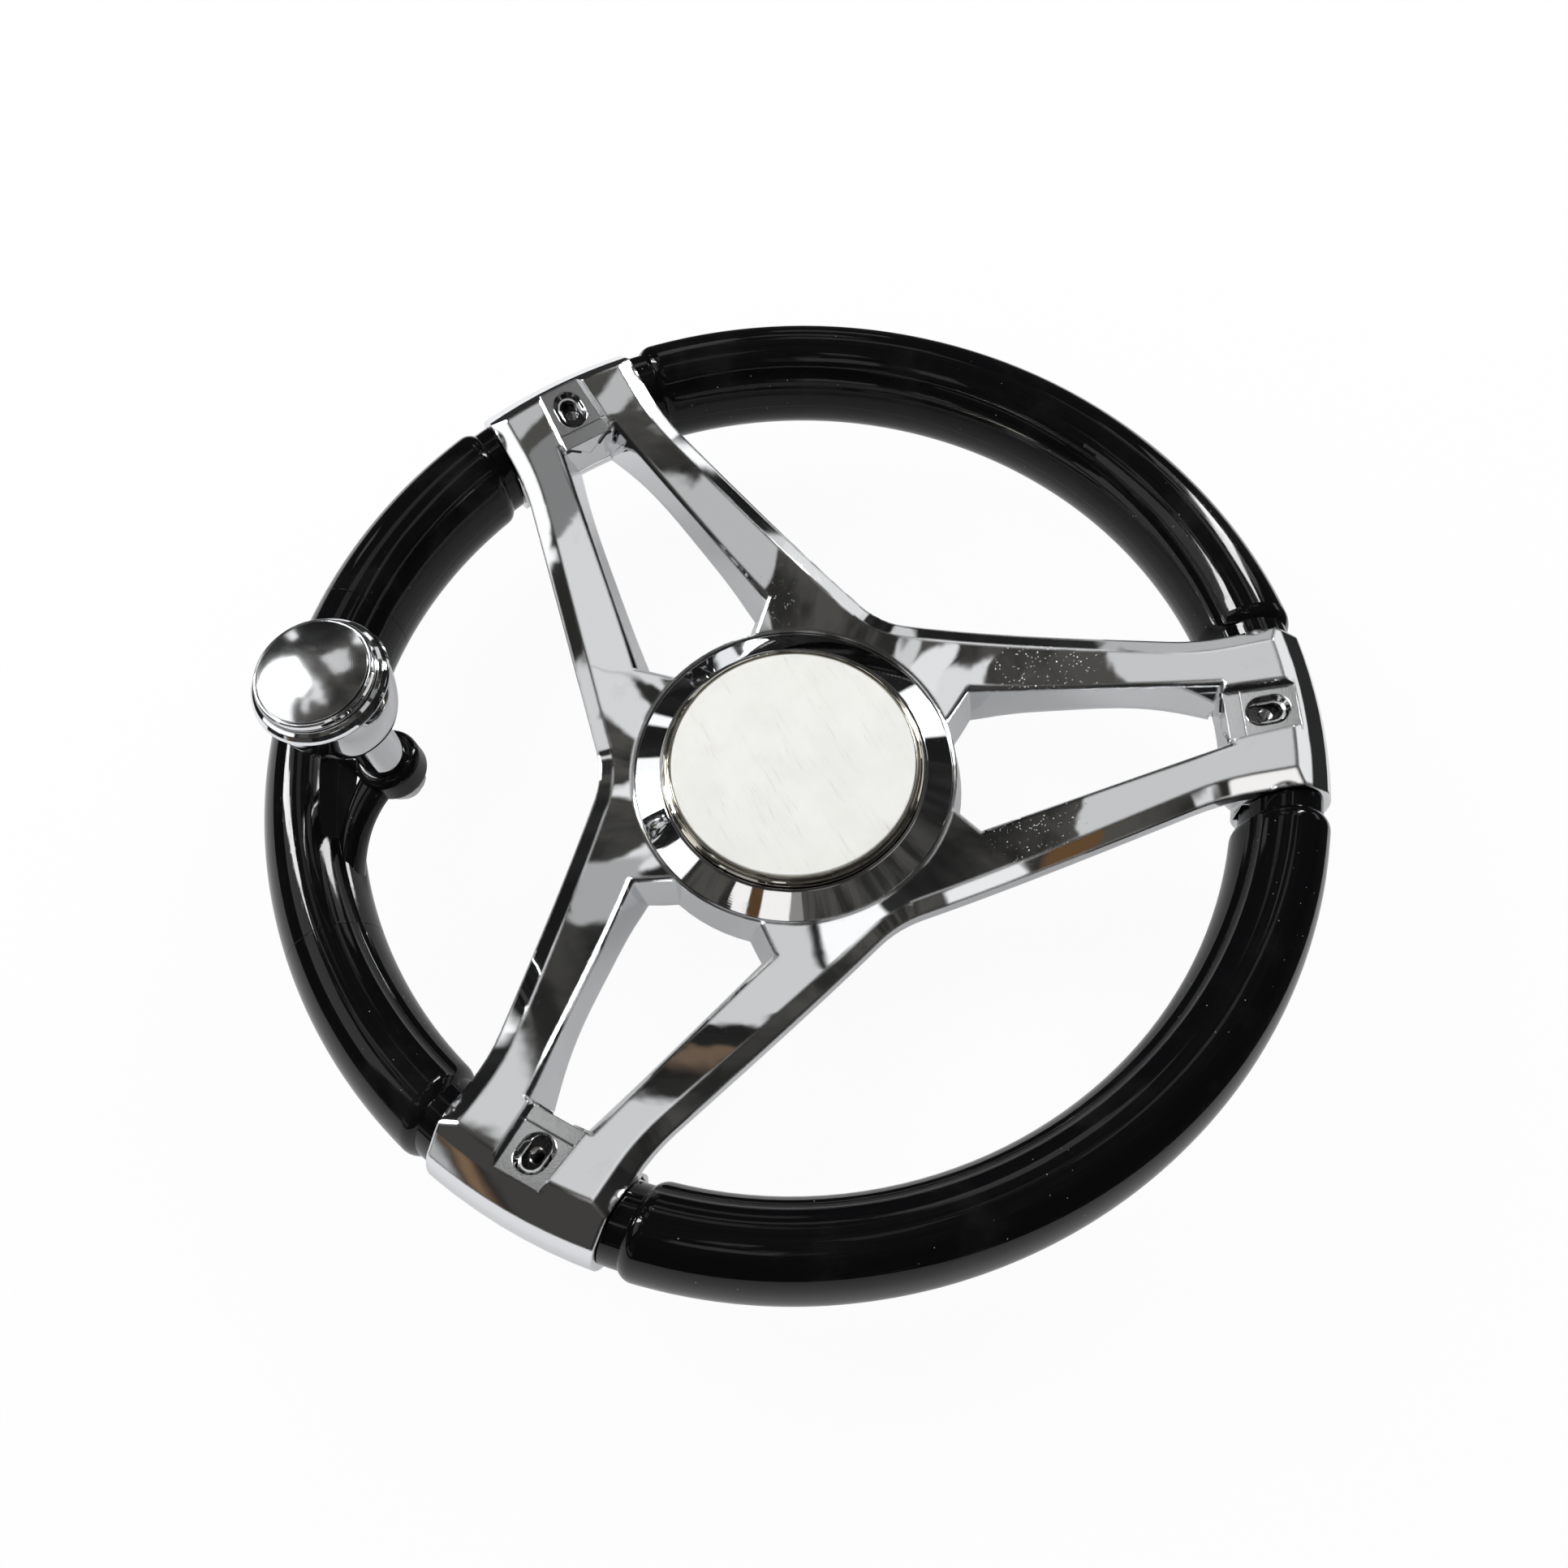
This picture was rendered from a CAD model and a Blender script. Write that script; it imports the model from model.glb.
# %% [markdown]
# # A boat steering wheel with a spinner knob
#
# The wheel on this page is a chromed casting with three pairs of legs, black moulded grips round a
# steel ring, a cap over the shaft nut and a knob that spins on its own pin. Every solid comes from
# the packed model, in metres, and stays where it is. This lesson gives the solids their finishes,
# adds the fine threads that a solid model leaves out, and sets up a small photo studio.

# %% Load the packed wheel
import math

import bpy
import numpy as np
from mathutils import Matrix, Vector


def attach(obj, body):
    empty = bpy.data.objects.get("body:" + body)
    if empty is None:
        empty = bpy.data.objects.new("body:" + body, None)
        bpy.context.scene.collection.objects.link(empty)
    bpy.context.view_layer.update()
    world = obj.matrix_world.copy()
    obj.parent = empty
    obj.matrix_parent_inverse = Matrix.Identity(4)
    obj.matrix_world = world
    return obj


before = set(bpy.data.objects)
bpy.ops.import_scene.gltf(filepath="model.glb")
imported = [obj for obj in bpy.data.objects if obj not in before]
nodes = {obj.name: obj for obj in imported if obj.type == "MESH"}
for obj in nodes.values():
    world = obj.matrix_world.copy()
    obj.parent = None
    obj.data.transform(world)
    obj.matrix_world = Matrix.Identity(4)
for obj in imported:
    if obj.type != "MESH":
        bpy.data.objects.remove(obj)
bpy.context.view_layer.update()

MM = 0.001

# %% [markdown]
# ## Sizes that the finishes need
#
# A finish that follows the shape has to know where the shape is. These few sizes repeat the driving
# dimensions of the solid model: the rim's centre line, the shallow cone on which the legs' top
# faces lie, and the leaning axis of the knob.

# %% Driving sizes
RIM_RADIUS = 160 * MM
RIM_HEIGHT = 50 * MM
HUB_RADIUS = 56.2 * MM
DISH_INNER = 34.9 * MM
DISH_SLOPE = 37.9 / 102.8
SPOKE_COUNT = 3
SPOKE_TURN = 2 * math.pi / SPOKE_COUNT
SLOT_REACH = 153.6 * MM
LUG_TOP = 64 * MM
KNOB_AZIMUTH = math.radians(183.6)
KNOB_LEAN = math.radians(4.3)
KNOB_REACH = 130 * MM
KNOB_BASE = 73.7 * MM
CENTRE = Vector((0, 0, 0))
UPRIGHT = Matrix.Identity(3)

knob_foot = Vector((KNOB_REACH * math.cos(KNOB_AZIMUTH), KNOB_REACH * math.sin(KNOB_AZIMUTH), KNOB_BASE))
knob_turn = Matrix.Rotation(KNOB_AZIMUTH, 3, "Z") @ Matrix.Rotation(KNOB_LEAN, 3, "Y")
print("knob axis:", [round(v, 4) for v in knob_turn @ Vector((0, 0, 1))])

# %% [markdown]
# ## Sums instead of wires
#
# A finish is a sum over the surface: a stain here, a scratch there. Wiring dozens of Math nodes by
# hand hides that sum, and a long script of links hides it too. So a small class wraps a socket and
# lets Python's own operators add the nodes: `1 - haze * 0.4` reads as what it does.

# %% A socket that can be used in sums
class Field:
    """A value that varies over the surface; each operator adds one Math node."""

    def __init__(self, finish, socket):
        self.finish = finish
        self.socket = socket

    def math(self, operation, *values):
        """One Math node with this value first."""
        inputs = dict(enumerate((self,) + values))
        return self.finish.node("ShaderNodeMath", {"operation": operation}, inputs)

    def part(self, name):
        """Another output of the same node."""
        return Field(self.finish, self.socket.node.outputs[name])

    def between(self, low, high):
        """0 below low, 1 above high, and a smooth step between them."""
        inputs = {"Value": self, "From Min": low, "From Max": high}
        return self.finish.node("ShaderNodeMapRange", {"interpolation_type": "SMOOTHSTEP"}, inputs)

    def near(self, centre, half_width, softness):
        """1 within half_width of a centre, fading to 0 over the softness."""
        return 1 - abs(self - centre).between(half_width - softness / 2, half_width + softness / 2)

    def __add__(self, other):
        return self.math("ADD", other)

    def __radd__(self, other):
        return self + other

    def __sub__(self, other):
        return self.math("SUBTRACT", other)

    def __rsub__(self, other):
        return self * -1 + other

    def __mul__(self, other):
        return self.math("MULTIPLY", other)

    def __rmul__(self, other):
        return self * other

    def __truediv__(self, other):
        return self.math("DIVIDE", other)

    def __pow__(self, other):
        return self.math("POWER", other)

    def __abs__(self):
        return self.math("ABSOLUTE")


print("a field knows:", [name for name in vars(Field) if name.startswith("__r") or name[0] != "_"])

# %% [markdown]
# ## One way to add a node
#
# Everything that is not a sum, such as a noise or a shader, comes through one method. It sets the
# node's own settings first, because some of them change which sockets there are, and then feeds
# the sockets with numbers, colours or fields. Every finish here ends in one Principled shader.

# %% The finish that collects the nodes
class Finish:
    """Node tree of one finish."""

    def __init__(self, name, tree=None):
        if tree is None:
            self.material = bpy.data.materials.new(name)
            self.material.use_nodes = True
            tree = self.material.node_tree
        self.tree = tree
        self.tree.nodes.clear()

    def node(self, kind, settings=None, inputs=None, output=0):
        """Add a node: settings first, then sockets; gives one of its outputs as a field."""
        made = self.tree.nodes.new(kind)
        for name, value in (settings or {}).items():
            setattr(made, name, value)
        for key, value in (inputs or {}).items():
            socket = made.inputs[key]
            if isinstance(value, Field):
                self.tree.links.new(value.socket, socket)
            elif socket.type == "RGBA":
                socket.default_value = (*value, 1)
            else:
                socket.default_value = value
        if made.outputs:
            return Field(self, made.outputs[output])
        return None

    def surface(self, **sockets):
        """End the finish in one Principled shader; socket names use _ for a space."""
        inputs = {name.replace("_", " "): value for name, value in sockets.items()}
        shader = self.node("ShaderNodeBsdfPrincipled", inputs=inputs)
        self.node("ShaderNodeOutputMaterial", inputs={"Surface": shader})
        return self.material


def dress(material, *names):
    """Give a finish to some nodes of the wheel."""
    for name in names:
        nodes[name].data.materials.clear()
        nodes[name].data.materials.append(material)
    print(material.name, "on", ", ".join(names))


print("a finish knows:", [name for name in vars(Finish) if name[0] != "_"])

# %% [markdown]
# ## Places on a piece
#
# Object coordinates stay with a piece when it moves, and the solids all share one origin, so one
# place serves the whole wheel. A piece that leans, such as the knob, gets the same place moved to
# its own foot and turned upright, and then its rings run round its own axis.

# %% Object coordinates, upright and polar
def place_on(finish, origin=CENTRE, turn=UPRIGHT):
    """Object coordinates that start at an origin, with the turned piece set upright."""
    here = finish.node("ShaderNodeTexCoord", output="Object")
    moved = finish.node("ShaderNodeVectorMath", {"operation": "SUBTRACT"}, {0: here, 1: tuple(origin)})
    inputs = {"Vector": moved, "Rotation": tuple(turn.transposed().to_euler())}
    return finish.node("ShaderNodeMapping", {"vector_type": "POINT"}, inputs)


def axes(place):
    """The x, y and z of a place."""
    parts = place.finish.node("ShaderNodeSeparateXYZ", inputs={0: place})
    return parts, parts.part("Y"), parts.part("Z")


def radius_of(place):
    """Distance from the Z axis."""
    x, y = axes(place)[:2]
    return (x * x + y * y) ** 0.5


def azimuth_of(place):
    """Angle round the Z axis, in radians."""
    x, y = axes(place)[:2]
    return y.math("ARCTAN2", x)


def height_of(place):
    """Height over the origin."""
    return axes(place)[2]


def distance(place, point):
    """Distance from a fixed point."""
    inputs = {0: place, 1: point}
    return place.finish.node("ShaderNodeVectorMath", {"operation": "DISTANCE"}, inputs, "Value")


def stretched(place, scale, turn=(0, 0, 0)):
    """The same place turned and squeezed along its axes, for streaks and brushed lines."""
    inputs = {"Vector": place, "Rotation": turn}
    turned = place.finish.node("ShaderNodeMapping", {"vector_type": "POINT"}, inputs)
    return place.finish.node("ShaderNodeVectorMath", {"operation": "MULTIPLY"}, {0: turned, 1: scale})


print("places: object, axes, radius, azimuth, height, distance, stretched")

# %% [markdown]
# ## Patterns and relief
#
# Wear comes from a few patterns at the right size: soft noise for swell and stains, stretched noise
# for scratches, round specks for pits and dust. Relief stacks them as bumps with true depths in
# metres, over edges that the shader rounds a little, because no real edge is sharp, and a rounded
# edge is what catches the light. In the finishes below, a factor in a sum says how much of a layer
# is added.

# %% Noise, specks, lines, mixes and relief
# the numbers of a Mix node's two inputs and of its output, for each kind of value
MIX_SOCKETS = {"VECTOR": (4, 5, 1), "RGBA": (6, 7, 2)}
BEVEL_SAMPLES = 6


def noise(place, size, detail=2.0, roughness=0.5):
    """Soft noise whose features are about as large as size."""
    inputs = {"Vector": place, "Scale": 1 / size, "Detail": detail, "Roughness": roughness}
    return place.finish.node("ShaderNodeTexNoise", {"noise_dimensions": "3D"}, inputs)


def specks(place, size, reach, softness=0.08):
    """Round specks, one to a cell of the given size, with a radius of reach cells."""
    away = place.finish.node("ShaderNodeTexVoronoi", inputs={"Vector": place, "Scale": 1 / size})
    return 1 - away.between(reach * (1 - softness), reach * (1 + softness))


def lines(across, pitch):
    """Wave from 0 to 1 that repeats at each pitch."""
    return (across * (2 * math.pi / pitch)).math("SINE") * 0.5 + 0.5


def mixed(kind, factor, first, second):
    """Value of a kind between two others: the first at factor 0 and the second at 1."""
    first_socket, second_socket, result = MIX_SOCKETS[kind]
    inputs = {0: factor, first_socket: first, second_socket: second}
    return factor.finish.node("ShaderNodeMix", {"data_type": kind}, inputs, result)


def blend(factor, first, second):
    """Colour between two colours."""
    return mixed("RGBA", factor, first, second)


def grey(value):
    """A number as a colour."""
    return value.finish.node("ShaderNodeCombineXYZ", inputs={0: value, 1: value, 2: value})


def rounded(finish, radius):
    """Normal of the piece with its edges rounded by a radius."""
    return finish.node("ShaderNodeBevel", {"samples": BEVEL_SAMPLES}, {"Radius": radius})


def relief(normal, *layers):
    """Normal raised by layers of (height 0 to 1, depth in metres)."""
    for height, depth in layers:
        inputs = {"Height": height, "Distance": depth, "Strength": 1.0, "Normal": normal}
        normal = normal.finish.node("ShaderNodeBump", inputs=inputs)
    return normal


print("patterns: noise, specks, lines; mixes: mixed, blend, grey; relief over rounded edges")

# %% [markdown]
# ## Chrome on a casting
#
# Chrome over a polished die casting is a mirror that is never quite flat: the metal under it keeps
# a slow swell from the polishing wheel, and that bends every reflection into wavy islands. A
# painted reflection would stay in its place as the view moves, so the swell is real relief here, a
# few hundredths of a millimetre over one or two centimetres, and the studio supplies what is
# reflected. Age shows as haze and as fine rubbed scratches.

# %% Layers that all chrome shares
CHROME = (0.80, 0.81, 0.82)
CHROME_DULL = (0.55, 0.56, 0.56)
# the ripple's size and depth, as shares of the swell's own
RIPPLE = 0.25
RIPPLE_DEPTH = 0.1
HAZE_SIZE = 11 * MM
SCRATCH_SIZE = 1.4 * MM
SCRATCH_SQUEEZE = (1, 14, 3)
SCRATCH_SLANT = (0.2, 0.4, 0.9)


def chrome_swell(place, size):
    """Slow swell of a size, and the finer ripple on it."""
    return noise(place, size, 0.0), noise(place, size * RIPPLE, 1.0)


def chrome_wear(place):
    """Patches of haze, and scratches along one slant."""
    haze = noise(place, HAZE_SIZE, 4.0, 0.62).between(0.58, 0.78)
    streaks = stretched(place, SCRATCH_SQUEEZE, SCRATCH_SLANT)
    scratches = noise(streaks, SCRATCH_SIZE, 3.0, 0.7).between(0.62, 0.70)
    return haze, scratches


print("chrome:", CHROME, "worn to", CHROME_DULL)

# %% [markdown]
# ## Where the frame is worn
#
# The frame's marks are not spread evenly. The top faces are pitted in three clusters, each given by
# a point and a reach. The sunk pads round the slots kept a cast grain, because no polishing wheel
# reached them. They repeat on each spoke, so they are worked out from the nearest spoke's line and
# from the depth under the cone on which the top faces lie.

# %% Masks on the frame
PAD_REACH = 152 * MM
PAD_HALF_LENGTH = 12 * MM
PAD_HALF_WIDTH = 9.3 * MM
PAD_END_FADE = 1 * MM
PAD_SIDE_FADE = 0.6 * MM
PAD_DEPTH = 3.5 * MM
PAD_DEPTH_FADE = 0.3 * MM
HOLLOW_START = (1.2 * MM, 1.7 * MM)
DEPTH_SLACK = 0.5 * MM
TOP_FADE = 0.2 * MM
PIT_CELL = 1.0 * MM
PIT_REACH = 0.22
PIT_FADE = 9 * MM
RAGGED_SIZE = 6 * MM
RAGGED_REACH = 14 * MM
SPARSE_SIZE = 2.2 * MM
# x, y and reach of each cluster of pits
PITTED_AREAS = [
    (87 * MM, 27 * MM, 19 * MM),
    (77 * MM, -21 * MM, 19 * MM),
    (-3 * MM, 62 * MM, 14 * MM),
]


def depth_under_top(place):
    """Depth under the cone of the top faces."""
    return (radius_of(place) - HUB_RADIUS) * DISH_SLOPE + DISH_INNER - height_of(place)


def pad_hollows(place):
    """1 in the hollows round the slots; along and across follow the nearest spoke."""
    azimuth = azimuth_of(place)
    off_line = azimuth - (azimuth / SPOKE_TURN + 0.5).math("FLOOR") * SPOKE_TURN
    along = radius_of(place) * off_line.math("COSINE")
    across = radius_of(place) * off_line.math("SINE")
    lengthwise = along.near(PAD_REACH, PAD_HALF_LENGTH, PAD_END_FADE)
    crosswise = across.near(0, PAD_HALF_WIDTH, PAD_SIDE_FADE)
    return lengthwise * crosswise * depth_under_top(place).between(*HOLLOW_START)


def flat_pads(place, hollows):
    """1 on the flat pads in the hollows."""
    return hollows * depth_under_top(place).near(PAD_DEPTH, DEPTH_SLACK, PAD_DEPTH_FADE)


def frame_pits(place):
    """1 in the pits, which gather in clusters on the top faces."""
    ragged = noise(place, RAGGED_SIZE, 2.0) * RAGGED_REACH
    clusters = 0
    for x, y, reach in PITTED_AREAS:
        away = distance(place, (x, y, RIM_HEIGHT)) + ragged
        clusters = 1 - away.between(reach, reach + PIT_FADE) + clusters
    on_top = depth_under_top(place).near(0, DEPTH_SLACK, TOP_FADE)
    sparse = noise(place, SPARSE_SIZE, 1.0).between(0.52, 0.58)
    return specks(place, PIT_CELL, PIT_REACH) * on_top * sparse * clusters.math("MINIMUM", 1.0)


print("clusters of pits:", len(PITTED_AREAS))

# %% [markdown]
# ## The chromed frame
#
# The frame and the blocks that close it behind the ring share one finish. It is a mirror with a
# little roughness from haze and scratches, grained in the pads and dull in the pits. The edges
# are rounded by 1.5 mm in the shader, as on a casting that was polished after it was cast, and
# stay crisper in the hollows that hold the slots.

# %% The chromed frame
FRAME_SWELL = 24 * MM
FRAME_SWELL_DEPTH = 0.060 * MM
FRAME_EDGE = 1.5 * MM
SLOT_EDGE = 0.5 * MM
GRAIN_SIZE = 0.5 * MM
GRAIN_DEPTH = 0.025 * MM
PIT_DEPTH = 0.05 * MM


def chromed_casting():
    """Chrome of the frame, with grained pads round the slots and pitted top faces."""
    finish = Finish("chromed_casting")
    place = place_on(finish)
    slow, ripple = chrome_swell(place, FRAME_SWELL)
    haze, scratches = chrome_wear(place)
    hollows = pad_hollows(place)
    pad = flat_pads(place, hollows)
    pits = frame_pits(place)
    grain = noise(place, GRAIN_SIZE, 3.0, 0.7)
    worn = (haze * 0.15 + pits * 0.8 + pad * grain * 0.35).math("MINIMUM", 1.0)
    edges = mixed("VECTOR", hollows, rounded(finish, FRAME_EDGE), rounded(finish, SLOT_EDGE))
    normal = relief(
        edges, (slow, FRAME_SWELL_DEPTH), (ripple, FRAME_SWELL_DEPTH * RIPPLE_DEPTH),
        (pad * grain, GRAIN_DEPTH), (pits, -PIT_DEPTH))
    return finish.surface(
        Base_Color=blend(worn, CHROME, CHROME_DULL),
        Metallic=1 - pits * 0.7,
        Roughness=0.02 + haze * 0.035 + scratches * 0.06 + pits * 0.3 + pad * 0.08,
        Normal=normal)


dress(chromed_casting(), "spoke_frame", "rear_clamps")

# %% [markdown]
# ## Chrome on turned pieces
#
# The knob, its stem and the rings of the cap are turned and polished on a lathe. Their swell is
# much smaller than the casting's, and what is left of the tool runs round the axis, so the fine
# lines follow the distance from each piece's own axis. The knob's cap has been held and rubbed for
# years, so it is duller and more uneven than all the rest.

# %% Turned and polished chrome
TURNED_SWELL = 12 * MM
TURNED_EDGE = 0.4 * MM
LATHE_PITCH = 0.45 * MM
WANDER_SIZE = 30 * MM
WANDER_REACH = 0.4 * MM
BEAD_TINT = (0.74, 0.70, 0.60)
KNOB_SWELL_DEPTH = 0.02 * MM
CAP_SWELL_DEPTH = 0.11 * MM
CAP_LINE_DEPTH = 0.001 * MM
RING_SWELL_DEPTH = 0.008 * MM


def turned_chrome(name, swell_depth, tint=CHROME, origin=CENTRE, turn=UPRIGHT,
                  polish=0.02, line_depth=0.0004 * MM):
    """Chrome of a lathe-turned piece with faint lines round its axis; polish is its roughness."""
    finish = Finish(name)
    place = place_on(finish, origin, turn)
    slow, ripple = chrome_swell(place, TURNED_SWELL)
    haze, scratches = chrome_wear(place)
    wander = noise(place, WANDER_SIZE) * WANDER_REACH
    rings = lines(radius_of(place) + height_of(place) + wander, LATHE_PITCH)
    normal = relief(
        rounded(finish, TURNED_EDGE), (slow, swell_depth), (ripple, swell_depth * RIPPLE_DEPTH),
        (rings, line_depth))
    return finish.surface(
        Base_Color=blend(haze * 0.25, tint, CHROME_DULL),
        Metallic=1.0,
        Roughness=polish + haze * 0.06 + scratches * 0.12,
        Normal=normal)


on_knob = {"origin": knob_foot, "turn": knob_turn}
knob_cap_chrome = turned_chrome(
    "knob_cap_chrome", CAP_SWELL_DEPTH, polish=0.125, line_depth=CAP_LINE_DEPTH, **on_knob)
dress(turned_chrome("knob_chrome", KNOB_SWELL_DEPTH, **on_knob), "knob_body", "knob_stem")
dress(knob_cap_chrome, "knob_cap")
dress(turned_chrome("bezel_chrome", RING_SWELL_DEPTH), "cap_bezel")
dress(turned_chrome("bead_chrome", RING_SWELL_DEPTH, BEAD_TINT), "cap_ring")

# %% [markdown]
# ## Gloss on the grips
#
# The grips are hard black moulding with a high gloss: almost no colour of their own, and a mirror
# skin that is only broken by handling. Grey paint would look dusty, so the colour stays near black
# and the looks come from the skin: soft swells, fine rubbed hairlines along the rim, dull palm
# marks, the mould's parting line round the rim, and a few light specks of dust.

# %% Moulded black gloss
GRIP_BLACK = (0.0035, 0.0035, 0.004)
GRIP_RUBBED = (0.008, 0.008, 0.0085)
DUST = (0.35, 0.35, 0.33)
GRIP_EDGE = 0.2 * MM
HAIRLINE_SIZE = 1.2 * MM
HAIRLINE_SQUEEZE = (0.12, 3, 3)
HAIRLINE_DEPTH = 0.004 * MM
PALM_SIZE = 28 * MM
DUST_CELL = 3.2 * MM
DUST_REACH = 0.055
DUST_DRIFT = 40 * MM
DUST_HEIGHT = 0.05 * MM
GRIP_SWELL = 16 * MM
GRIP_SWELL_DEPTH = 0.03 * MM
PEEL_SIZE = 1.6 * MM
PEEL_DEPTH = 0.002 * MM
SEAM_HALF_WIDTH = 0.10 * MM
SEAM_FADE = 0.2 * MM
SEAM_HEIGHT = 0.04 * MM


def black_gloss():
    """Glossy black moulding; hairlines follow the rim, unrolled to (arc, radius, height)."""
    finish = Finish("black_gloss")
    place = place_on(finish)
    arc = azimuth_of(place) * RIM_RADIUS
    rim = finish.node("ShaderNodeCombineXYZ", inputs={0: arc, 1: radius_of(place), 2: height_of(place)})
    hairlines = noise(stretched(rim, HAIRLINE_SQUEEZE), HAIRLINE_SIZE, 3.0, 0.7).between(0.64, 0.72)
    palm = noise(place, PALM_SIZE, 4.0, 0.6).between(0.50, 0.72)
    dust = specks(place, DUST_CELL, DUST_REACH) * noise(place, DUST_DRIFT).between(0.50, 0.58)
    swell = noise(place, GRIP_SWELL, 1.0)
    peel = noise(place, PEEL_SIZE, 1.0)
    seam = height_of(place).near(RIM_HEIGHT, SEAM_HALF_WIDTH, SEAM_FADE)
    normal = relief(
        rounded(finish, GRIP_EDGE), (swell, GRIP_SWELL_DEPTH), (peel, PEEL_DEPTH), (seam, SEAM_HEIGHT),
        (hairlines, -HAIRLINE_DEPTH), (dust, DUST_HEIGHT))
    return finish.surface(
        Base_Color=blend(dust, blend(palm, GRIP_BLACK, GRIP_RUBBED), DUST),
        Specular_IOR_Level=0.27,
        Roughness=0.05 + palm * 0.08 + hairlines * 0.15 + dust * 0.4,
        Normal=normal)


dress(black_gloss(), "grip_top", "grip_bottom", "grip_left_upper", "grip_left_lower", "knob_sleeve")

# %% [markdown]
# ## The bare satin disc
#
# The middle of the cap is a pale satin disc with nothing on it. Satin is many tiny grooves, too fine
# to model, so roughness stands for them; what the eye reads are the slanting scratches where it
# was wiped, and a faint unevenness of tone. The scratches are long, thin noise, turned to the
# slant that the real ones have.

# %% Pale satin
SATIN = (0.90, 0.90, 0.86)
SATIN_MARKED = (0.70, 0.70, 0.66)
HAIR_SIZE = 0.5 * MM
HAIR_SQUEEZE = (1, 0.05, 1)
HAIR_SLANT = (0, 0, math.radians(-24))
HAIR_DEPTH = 0.015 * MM
SMEAR_SIZE = 4 * MM
SMEAR_SQUEEZE = (1, 0.12, 1)
SMEAR_SLANT = (0, 0, math.radians(-28))
SMEAR_DEPTH = 0.02 * MM
CLOUD_SIZE = 18 * MM
DISC_EDGE = 0.2 * MM


def pale_satin():
    """Satin disc with slanting wipe marks."""
    finish = Finish("pale_satin")
    place = place_on(finish)
    hair = noise(stretched(place, HAIR_SQUEEZE, HAIR_SLANT), HAIR_SIZE, 2.0, 0.6).between(0.60, 0.70)
    smear = noise(stretched(place, SMEAR_SQUEEZE, SMEAR_SLANT), SMEAR_SIZE, 3.0, 0.6)
    cloud = noise(place, CLOUD_SIZE, 3.0)
    marks = hair * smear.between(0.45, 0.62)
    tone = marks * 0.55 + cloud.between(0.35, 0.75) * 0.25 + smear.between(0.5, 0.8) * 0.2
    return finish.surface(
        Base_Color=blend(tone.math("MINIMUM", 1.0), SATIN, SATIN_MARKED),
        Metallic=0.15,
        Roughness=0.42 - marks * 0.12 + cloud * 0.06,
        Normal=relief(rounded(finish, DISC_EDGE), (hair, -HAIR_DEPTH), (smear, SMEAR_DEPTH)))


dress(pale_satin(), "cap_disc")

# %% [markdown]
# ## The metal and plastic that barely show
#
# Behind the chrome are a steel ring, a machined boss, screws, a spindle with bronze bushes, a
# moulded cup and its rubber ring. They share one recipe: a base colour, lines left by the tool
# round the piece's own axis, and a touch of rust or dust in the noise.

# %% Plain pieces
TOOL_PITCH = 0.35 * MM
TOOL_DEPTH = 0.006 * MM
STAIN_SIZE = 5 * MM
FINE_SIZE = 0.6 * MM
PLAIN_EDGE = 0.2 * MM
BRIGHT_STEEL = (0.62, 0.62, 0.63)
STEEL_STAIN = (0.45, 0.44, 0.42)


def tooled(name, colour, stain, roughness, metallic=1.0, origin=CENTRE, turn=UPRIGHT):
    """Machined or moulded piece with fine rings round its axis and some staining."""
    finish = Finish(name)
    place = place_on(finish, origin, turn)
    rings = lines(radius_of(place) + height_of(place), TOOL_PITCH)
    stains = noise(place, STAIN_SIZE, 4.0, 0.65).between(0.50, 0.72)
    fine = noise(place, FINE_SIZE, 2.0)
    return finish.surface(
        Base_Color=blend(stains, colour, stain),
        Metallic=metallic,
        Roughness=roughness + stains * 0.12 + fine * 0.08,
        Normal=relief(rounded(finish, PLAIN_EDGE), (rings, TOOL_DEPTH), (fine, TOOL_DEPTH)))


dress(tooled("ring_steel", (0.05, 0.05, 0.052), (0.04, 0.034, 0.028), 0.22), "rim_core")
dress(tooled("boss_steel", (0.50, 0.50, 0.51), (0.30, 0.26, 0.22), 0.30), "hub_insert")
dress(tooled("screw_steel", BRIGHT_STEEL, STEEL_STAIN, 0.22), "clamp_screws", "sleeve_screws")
dress(tooled("spindle_steel", BRIGHT_STEEL, STEEL_STAIN, 0.20, **on_knob),
      "knob_spindle", "knob_nut", "knob_washer")
dress(tooled("bush_bronze", (0.62, 0.45, 0.24), (0.40, 0.28, 0.15), 0.32, **on_knob), "knob_bushes")
dress(tooled("cup_plastic", (0.025, 0.025, 0.027), (0.05, 0.05, 0.05), 0.45, 0.0), "cap_housing")
dress(tooled("seal_rubber", (0.018, 0.018, 0.018), (0.04, 0.04, 0.04), 0.55, 0.0), "cap_seal")

# %% [markdown]
# ## Surfaces from a grid of points
#
# Every new shape here is one function of two directions, worked out as a whole array of points.
# The faces follow from the grid: each joins two neighbours in one row to the two beside them in the
# next. A grid can close on itself like a tube, and its two ends can get caps.

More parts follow.
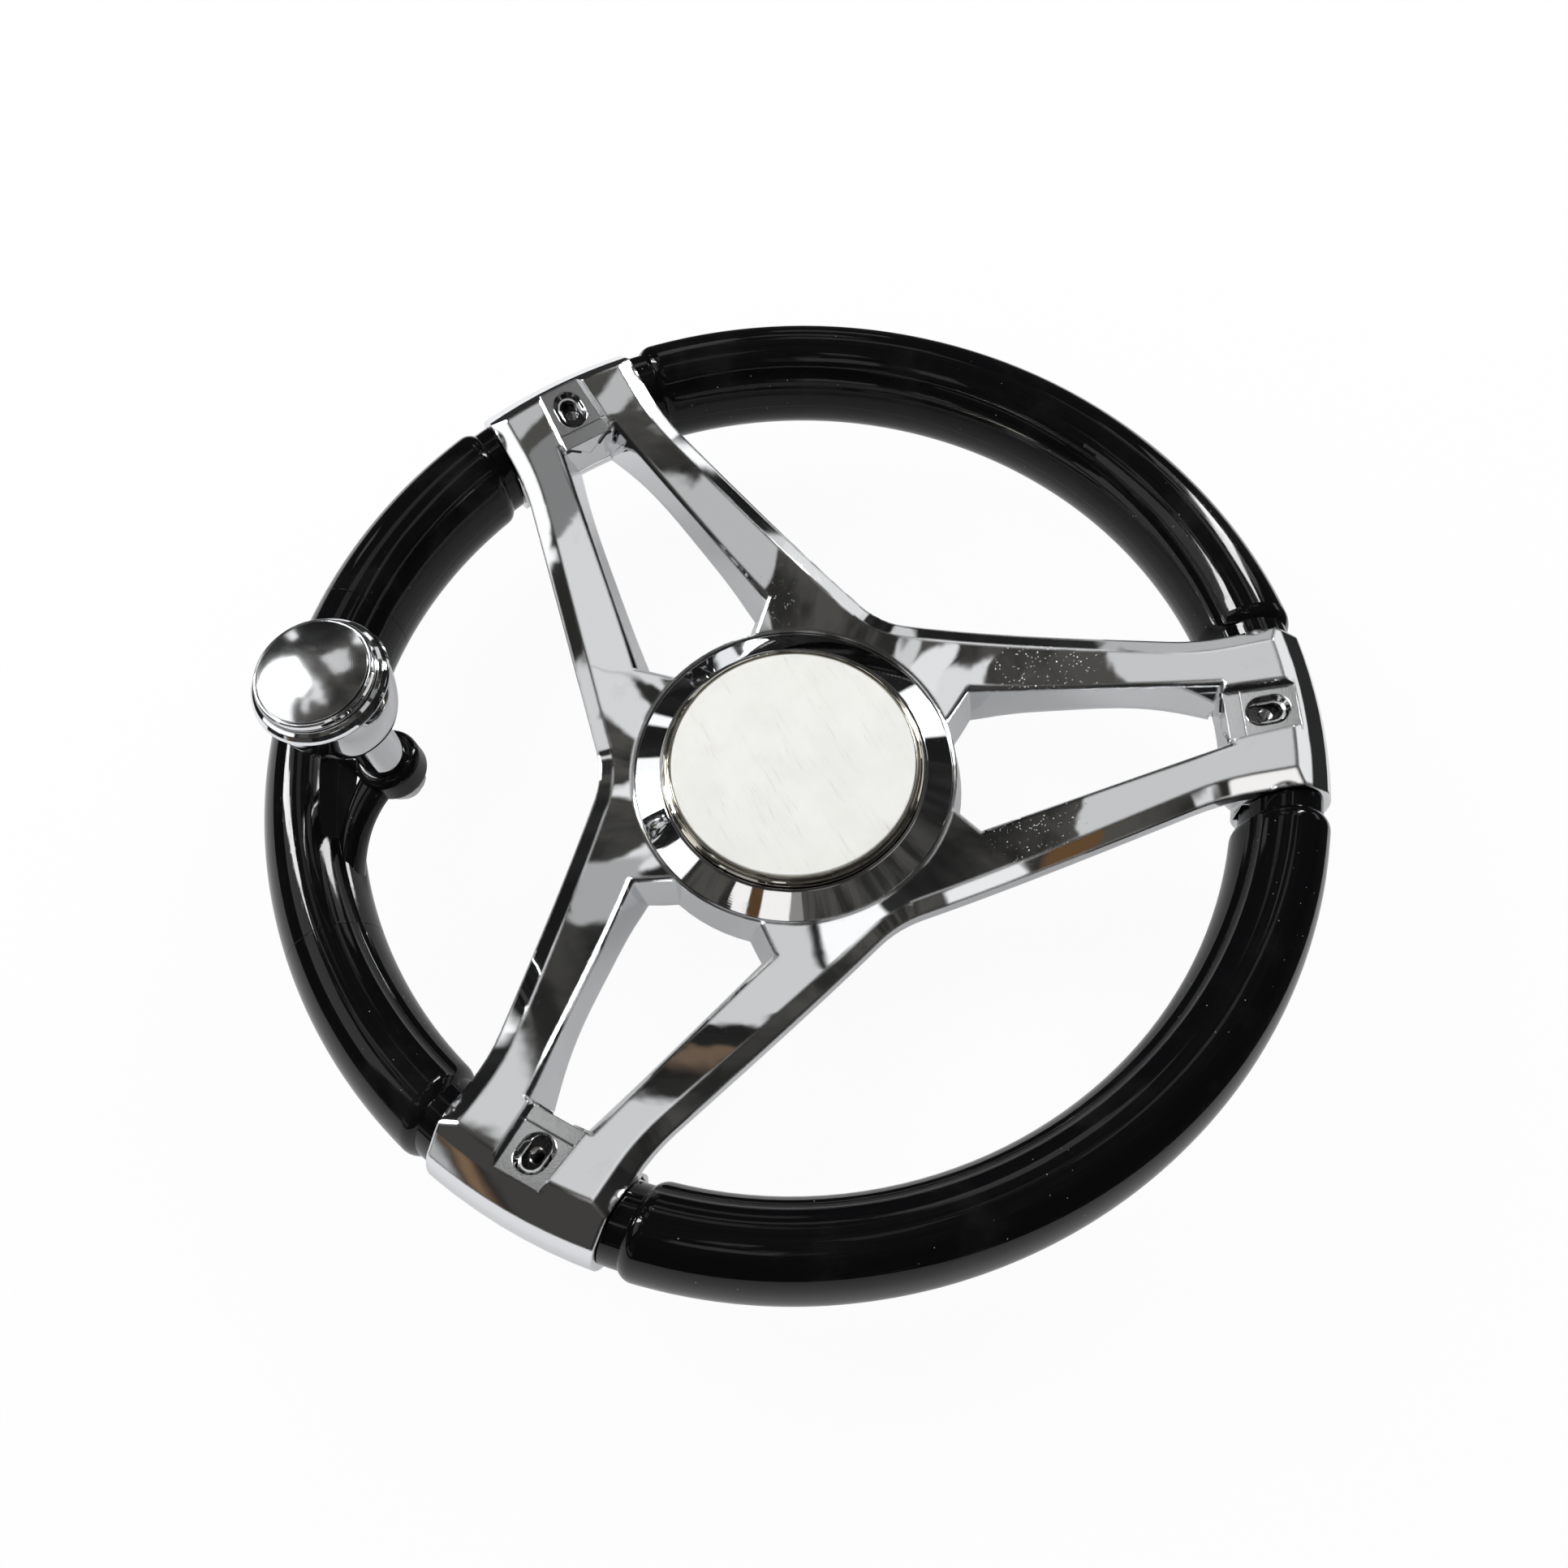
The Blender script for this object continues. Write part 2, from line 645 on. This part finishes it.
# %% A grid of points as a mesh
def surface_grid(name, points, closed=False, capped=False):
    """Object from a grid of points (rows, columns, 3), with its place in its mesh.

    Each face joins neighbours of two rows. Closed joins the last column to the first, and capped
    closes the first and the last row with a face each.
    """
    rows, columns = points.shape[:2]
    spans = columns if closed else columns - 1
    row, column = np.meshgrid(np.arange(rows - 1) * columns, np.arange(spans), indexing="ij")
    beside = (column + 1) % columns
    corners = [row + column, row + beside, row + columns + beside, row + columns + column]
    faces = np.stack(corners, -1).reshape(-1, 4).tolist()
    if capped:
        last_row = columns * (rows - 1)
        faces.append(list(range(columns))[::-1])
        faces.append(list(range(last_row, last_row + columns)))
    mesh = bpy.data.meshes.new(name)
    mesh.from_pydata(points.reshape(-1, 3).tolist(), [], faces)
    mesh.update()
    piece = bpy.data.objects.new(name, mesh)
    bpy.context.scene.collection.objects.link(piece)
    print(name, "faces:", len(mesh.polygons))
    return piece


# %% [markdown]
# ## Threads
#
# Under each slot a screw hole is tapped into the steel lug, and a glint of its thread shows through
# the slot. A thread is a helix, a profile carried along a turning path: one direction of the grid
# runs along the helix and the other across the ridge. The same function makes the outer thread on
# the end of the knob's spindle, where the ridge stands outwards instead of inwards.

# %% Threads of the lugs and the spindle
THREAD_STEPS = 40
RUN_OUT = math.pi / 2
THREAD_SINK = 0.05 * MM
CREST = np.array([0.0, 1.0, 1.0, 0.0])
CREST_OFFSET = np.array([-0.45, -0.08, 0.08, 0.45])
LUG_THREAD = {"radius": 2.5 * MM, "depth": -0.45 * MM, "pitch": 1.0 * MM, "turns": 10.5}
LUG_THREAD_DROP = 11.5 * MM
SPINDLE_THREAD = {"radius": 4.0 * MM, "depth": 0.04 * MM, "pitch": 1.25 * MM, "turns": 1.2}
SPINDLE_THREAD_DROP = 20.3 * MM


def thread_points(radius, depth, pitch, turns):
    """Grid of a screw thread's ridge round the Z axis; a negative depth points inwards.

    At angle t the path is (radius cos t, radius sin t, pitch t / 2 pi). Across it the profile has
    two feet, sunk a little behind the radius, and a narrow crest raised by the depth. At both ends
    the crest sinks to nothing, so that the ridge runs out.
    """
    angle = np.linspace(0, 2 * math.pi * turns, int(THREAD_STEPS * turns) + 1)[:, None]
    fade = np.clip(np.minimum(angle, angle[-1] - angle) / RUN_OUT, 0, 1)
    reach = radius + depth * fade * CREST - THREAD_SINK * np.sign(depth) * (1 - CREST)
    height = pitch * (angle / (2 * math.pi) + CREST_OFFSET)
    points = np.stack([reach * np.cos(angle), reach * np.sin(angle), height], -1)
    if depth > 0:
        points = points[:, ::-1]
    return points


def add_thread(name, size, foot, turn, finish):
    """Thread standing on a foot, along a turned axis, on the wheel."""
    points = thread_points(**size) @ np.array(turn).T + np.array(foot)
    piece = surface_grid(name, points, closed=True, capped=True)
    piece.data.materials.append(finish)
    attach(piece, "wheel")


thread_steel = tooled("thread_steel", (0.66, 0.66, 0.67), (0.42, 0.38, 0.34), 0.18)
for number in range(SPOKE_COUNT):
    spoke_turn = Matrix.Rotation(SPOKE_TURN * number, 3, "Z")
    lug_foot = spoke_turn @ Vector((SLOT_REACH, 0, LUG_TOP - LUG_THREAD_DROP))
    add_thread(f"lug_thread_{number + 1}", LUG_THREAD, lug_foot, UPRIGHT, thread_steel)
spindle_foot = knob_foot - knob_turn @ Vector((0, 0, SPINDLE_THREAD_DROP))
add_thread("spindle_thread", SPINDLE_THREAD, spindle_foot, knob_turn, thread_steel)

# %% [markdown]
# ## The cards of the studio
#
# Chrome has no looks of its own: it shows the room. A white room would leave the wheel flat and
# pale, so photographers hang black and white cards over it. Here the cards are regions of one dark
# dome, each given by where it is seen from the wheel's middle: its azimuth, its angle down from
# straight up, and its half sizes. The dome's own ceiling is a mottled dark grey. A little noise
# bends the edges of the high cards, because straight edges look drawn in a rounded mirror.

# %% Cards on the dome
DOME_RADIUS = 1.2
DARK_ROOM = 0.012
GLIMMER = 0.03
GLIMMER_SIZE = 0.3
CEILING = (0.086, 0.083, 0.076)
MOTTLE_SIZE = 0.15
DARKEST_MOTTLE = 0.2
WOBBLE_SIZE = 0.09
# degrees: the full swing of the wobble, and the widths of the cards' soft edges
WOBBLE = 5.5
AZIMUTH_FADE = 1.2
TILT_FADE = 0.8
# angles from straight up between which the ceiling and the wobble fade out
CEILING_ENDS = (36, 54)
WOBBLE_ENDS = (52, 62)
# how much of red, green and blue a fully warm card loses
WARM_LOSS = np.array([0.0, 0.45, 0.75])
# name: azimuth and angle from straight up, half sizes of both (degrees), brightness, warmth 0 to 1
CARDS = {
    # over the wheel
    "zenith_card": (-10, 3, 60, 3.2, 0.56, 0),
    "haze_right": (47, 12, 9, 3, 0.25, 0),
    "ceiling_right": (28, 18, 11, 6, 0.80, 0),
    "crown_card": (65, 12.5, 4, 3.5, 0.56, 0),
    "ceiling_left": (119.5, 31.5, 11.5, 8, 0.68, 0),
    "ceiling_right_low": (29, 28, 5.5, 4, 0.80, 0),
    "hub_card": (153.5, 28, 4.5, 3, 0.85, 0),
    "hub_card_left": (163, 25.5, 6, 3, 0.92, 0),
    "hub_card_far": (171.5, 21.5, 4, 2.4, 0.72, 0),
    "hub_side_high": (43, 42.5, 6.5, 4, 0.95, 0),
    "hub_side_low": (55.5, 49.5, 9, 3.5, 0.88, 0),
    # beyond the wheel, as the camera stands
    "edge_card_back": (99, 49, 5, 8, 1.2, 0),
    "edge_card_right": (57, 31, 5, 9, 1.1, 0),
    "far_shelf_high": (85.5, 41, 5.5, 3.6, 0.72, 0),
    "far_shelf_low": (88.5, 54, 4, 3.5, 0.72, 0),
    "far_shelf_side": (66.5, 45, 3.5, 3, 0.45, 0),
    "far_frame": (86, 47.4, 1.8, 0.7, 0.17, 0.7),
    "far_lamp": (86, 74, 5, 3.5, 0.52, 0),
    # the windows and lamps left and right
    "left_window": (171, 49, 27, 11.5, 1.25, 0),
    "left_window_low": (151, 60, 4.5, 3.5, 1.2, 0),
    "left_slit": (133.5, 67, 1.8, 4, 1.2, 0),
    "left_bulb": (157, 47, 4.5, 13, 34.0, 0),
    "left_spot": (146, 49, 1.5, 3, 28.0, 0),
    "left_strip": (175, 30, 8, 2.2, 0.75, 0),
    "right_window": (47, 64, 9, 7, 1.25, 0),
    "right_bulb": (46.5, 57, 3.5, 12, 28.0, 0),
    "horizon_right": (22, 84.5, 10, 5, 0.95, 0),
    # behind the camera
    "room_wall": (226, 68, 14, 9, 0.06, 0.1),
    "skirting": (224, 77.8, 12, 0.4, 0.22, 0.8),
    "sheet_glow": (224, 82, 14, 3.4, 0.50, 0),
    "near_window": (244, 31, 20, 3.5, 1.1, 0.06),
    "near_window_bar": (240, 31, 4, 4, 0.10, 1),
    "near_frame": (254, 21.2, 3.5, 1.6, 0.14, 1),
    "near_edge": (262, 25.5, 3, 0.7, 0.8, 0),
    "near_ledge": (246, 15.8, 7, 2.8, 1.0, 0),
    "near_side": (268, 31, 4, 3, 0.30, 0.1),
}


def card_mask(azimuth, tilt, card):
    """1 on a card, with soft edges; azimuths are compared round the full circle."""
    card_azimuth, card_tilt, half_azimuth, half_tilt = card[:4]
    offset = azimuth - card_azimuth
    turned = offset - ((offset + 180) / 360).math("FLOOR") * 360
    return turned.near(0, half_azimuth, AZIMUTH_FADE) * tilt.near(card_tilt, half_tilt, TILT_FADE)


def dome_light():
    """Glow of the dark dome with its cards, from the dome's own coordinates."""
    finish = Finish("studio_dome")
    place = place_on(finish)
    azimuth = azimuth_of(place) * math.degrees(1)
    tilt = (height_of(place) / DOME_RADIUS).math("MINIMUM", 1.0).math("ARCCOSINE") * math.degrees(1)
    sideways, down = axes(noise(place, WOBBLE_SIZE, 2.0).part("Color"))[:2]
    wobble = (1 - tilt.between(*WOBBLE_ENDS)) * WOBBLE
    azimuth = azimuth + (sideways - 0.5) * wobble
    tilt = tilt + (down - 0.5) * wobble
    room = noise(place, GLIMMER_SIZE, 3.0, 0.6).between(0.4, 0.8) * GLIMMER + DARK_ROOM
    patches = noise(place, MOTTLE_SIZE, 4.0, 0.6).between(0.40, 0.60)
    mottle = patches * (1 - DARKEST_MOTTLE) + DARKEST_MOTTLE
    glow = blend((1 - tilt.between(*CEILING_ENDS)) * mottle, grey(room), CEILING)
    for card in CARDS.values():
        brightness, warmth = card[4:]
        glow = blend(card_mask(azimuth, tilt, card), glow, tuple(brightness * (1 - warmth * WARM_LOSS)))
    emission = finish.node("ShaderNodeEmission", inputs={"Color": glow, "Strength": 1.0})
    finish.node("ShaderNodeOutputMaterial", inputs={"Surface": emission})
    return finish.material


print("cards:", len(CARDS))

# %% [markdown]
# ## The dome
#
# The dome is half a sphere round the wheel's middle, one grid of angles. It must not light or
# shade anything: only mirrors see it, while the camera sees the plain white background and soft
# lamps light what is not a mirror.

# %% The dome that only mirrors see
DOME_COLUMNS = 96
DOME_ROWS = 32
# angle left open at the top, so that the first row is a small ring and not one point
DOME_OPENING = 0.002


def hide_from(piece, **rays):
    """Choose which kinds of ray see a piece, such as camera=False."""
    for kind, seen in rays.items():
        setattr(piece, "visible_" + kind, seen)


turn_angle = np.linspace(0, 2 * math.pi, DOME_COLUMNS + 1)[:-1][None, :]
tilt_angle = np.linspace(DOME_OPENING, math.pi / 2, DOME_ROWS + 1)[:, None]
dome_points = DOME_RADIUS * np.stack([
    np.sin(tilt_angle) * np.cos(turn_angle),
    np.sin(tilt_angle) * np.sin(turn_angle),
    np.cos(tilt_angle) + 0 * turn_angle], -1)
dome = surface_grid("studio_dome", dome_points, closed=True)
dome.data.materials.append(dome_light())
hide_from(dome, camera=False, diffuse=False, transmission=False, shadow=False)

# %% [markdown]
# ## The floor
#
# The floor is pale and keeps a faint shadow under the wheel: part of it is a matte surface, and
# part is a white glow that the camera and, more weakly, mirrors see. For mirrors the paper sheet
# has an end, beyond which the room is dark, and it is darker under the wheel and the knob's pod.

# %% The pale floor
FLOOR_HALF = 6.0
CAMERA_WHITE = 0.94
MIRROR_WHITE = 0.27
SHEET_END_X = (245 * MM, 255 * MM)
SHEET_END_Y = (275 * MM, 290 * MM)
MOST_SHADE = 0.97
WHEEL_SHADE = 0.20
WHEEL_SHADE_ENDS = (170 * MM, 250 * MM)
POD_SHADE_ENDS = (14 * MM, 34 * MM)
POD_SPOT = (-138 * MM, 12 * MM, 0)
PAPER = (0.86, 0.86, 0.88)
PAPER_LIGHT = (0.88, 0.88, 0.90)
PAPER_GRAIN = 2 * MM
BLACK = (0, 0, 0)


def mirror_shade(place):
    """How much darker a mirror sees each place of the floor, up to almost all."""
    x, y = axes(place)[:2]
    past_sheet = x.between(*SHEET_END_X).math("MAXIMUM", y.between(*SHEET_END_Y))
    under_wheel = 1 - radius_of(place).between(*WHEEL_SHADE_ENDS)
    under_pod = 1 - distance(place, POD_SPOT).between(*POD_SHADE_ENDS)
    shade = under_wheel * WHEEL_SHADE + past_sheet * MOST_SHADE + under_pod
    return shade.math("MINIMUM", MOST_SHADE)


def floor_finish():
    """Pale matte floor, mostly white to the camera."""
    finish = Finish("studio_floor")
    place = place_on(finish)
    camera_ray = finish.node("ShaderNodeLightPath")
    mirror_ray = camera_ray.part("Is Glossy Ray").math("MAXIMUM", camera_ray.part("Is Transmission Ray"))
    tone = 1 - mirror_ray * mirror_shade(place)
    paper = blend(noise(place, PAPER_GRAIN, 2.0), PAPER, PAPER_LIGHT)
    matte = finish.node("ShaderNodeBsdfDiffuse", inputs={"Color": blend(tone, BLACK, paper)})
    white = finish.node("ShaderNodeEmission", inputs={"Color": grey(tone), "Strength": 1.0})
    share = camera_ray * CAMERA_WHITE + mirror_ray * MIRROR_WHITE
    both = finish.node("ShaderNodeMixShader", inputs={0: share, 1: matte, 2: white})
    finish.node("ShaderNodeOutputMaterial", inputs={"Surface": both})
    return finish.material


floor_line = np.linspace(-FLOOR_HALF, FLOOR_HALF, 3)
floor_x, floor_y = np.meshgrid(floor_line, floor_line)
floor = surface_grid("studio_floor", np.stack([floor_x, floor_y, 0 * floor_x], -1))
floor.data.materials.append(floor_finish())

# %% [markdown]
# ## Background and lamps
#
# The background is pure white where it is seen, and dimmer where it only lights the scene. Two
# soft lamps stand left and right above the wheel, where the photograph's highlights come from.
# Mirrors don't see them, because the cards already stand for them there.

# %% World and lamps
AMBIENT = 0.63
LAMP_DISTANCE = 1.6
# name: azimuth and angle from straight up (degrees), width in metres, power in watts
LAMPS = {
    "left_lamp": (150, 45, 0.9, 10.0),
    "right_lamp": (45, 50, 0.7, 6.0),
}


def white_world():
    """White background whose light on the scene is dimmer than what is seen."""
    world = bpy.data.worlds.new("white_background")
    world.use_nodes = True
    sky = Finish("sky", world.node_tree)
    camera_ray = sky.node("ShaderNodeLightPath")
    mirror_ray = camera_ray.part("Is Glossy Ray") + camera_ray.part("Is Transmission Ray")
    seen = (camera_ray + mirror_ray).math("MINIMUM", 1.0)
    strength = seen * (1 - AMBIENT) + AMBIENT
    background = sky.node("ShaderNodeBackground", inputs={"Color": (1, 1, 1), "Strength": strength})
    sky.node("ShaderNodeOutputWorld", inputs={"Surface": background})
    return world


def soft_lamp(name, azimuth, tilt, size, power):
    """Square lamp aimed at the wheel's middle; mirrors don't see it."""
    data = bpy.data.lights.new(name, "AREA")
    data.size = size
    data.energy = power
    lamp = bpy.data.objects.new(name, data)
    towards = Matrix.Rotation(math.radians(azimuth), 3, "Z") @ Matrix.Rotation(math.radians(tilt), 3, "Y")
    lamp.location = towards @ Vector((0, 0, LAMP_DISTANCE))
    lamp.rotation_euler = lamp.location.to_track_quat("Z", "Y").to_euler()
    bpy.context.scene.collection.objects.link(lamp)
    hide_from(lamp, glossy=False)
    print(name, "at", [round(v, 2) for v in lamp.location])


bpy.context.scene.world = white_world()
for lamp_name, lamp_values in LAMPS.items():
    soft_lamp(lamp_name, *lamp_values)

# %% [markdown]
# ## The camera
#
# The photograph was taken from the driver's side, below the wheel's axis. The outlines of the rim
# and of the three spokes fix the angle: the view leans 24.6 degrees off the shaft and barely to
# the side, from about half a metre away.

# %% Camera at the photograph's angle
PICTURE_PIXELS = 1932
FOCAL_PIXELS = 1738.2
SENSOR_WIDTH = 36
VIEW_TILT = math.radians(-24.60)
VIEW_SIDE = math.radians(-1.89)
WHEEL_TURN = math.radians(1.44)
VIEW_OFFSET = Vector((-2.77 * MM, -11.11 * MM, 472.3 * MM))

wheel_to_view = Matrix.Rotation(VIEW_TILT, 3, "X") @ Matrix.Rotation(VIEW_SIDE, 3, "Y")
view_to_part = Matrix.Rotation(-WHEEL_TURN, 3, "Z") @ wheel_to_view.transposed()
camera_place = view_to_part @ VIEW_OFFSET + Vector((0, 0, RIM_HEIGHT))
lens = bpy.data.cameras.new("photo_camera")
lens.sensor_width = SENSOR_WIDTH
lens.lens = SENSOR_WIDTH * FOCAL_PIXELS / PICTURE_PIXELS
camera = bpy.data.objects.new("photo_camera", lens)
camera.matrix_world = Matrix.Translation(camera_place) @ view_to_part.to_4x4()
bpy.context.scene.collection.objects.link(camera)
bpy.context.scene.camera = camera
bpy.context.scene.view_settings.view_transform = "Standard"
print("camera at", [round(v, 3) for v in camera_place], "lens", round(lens.lens, 2))
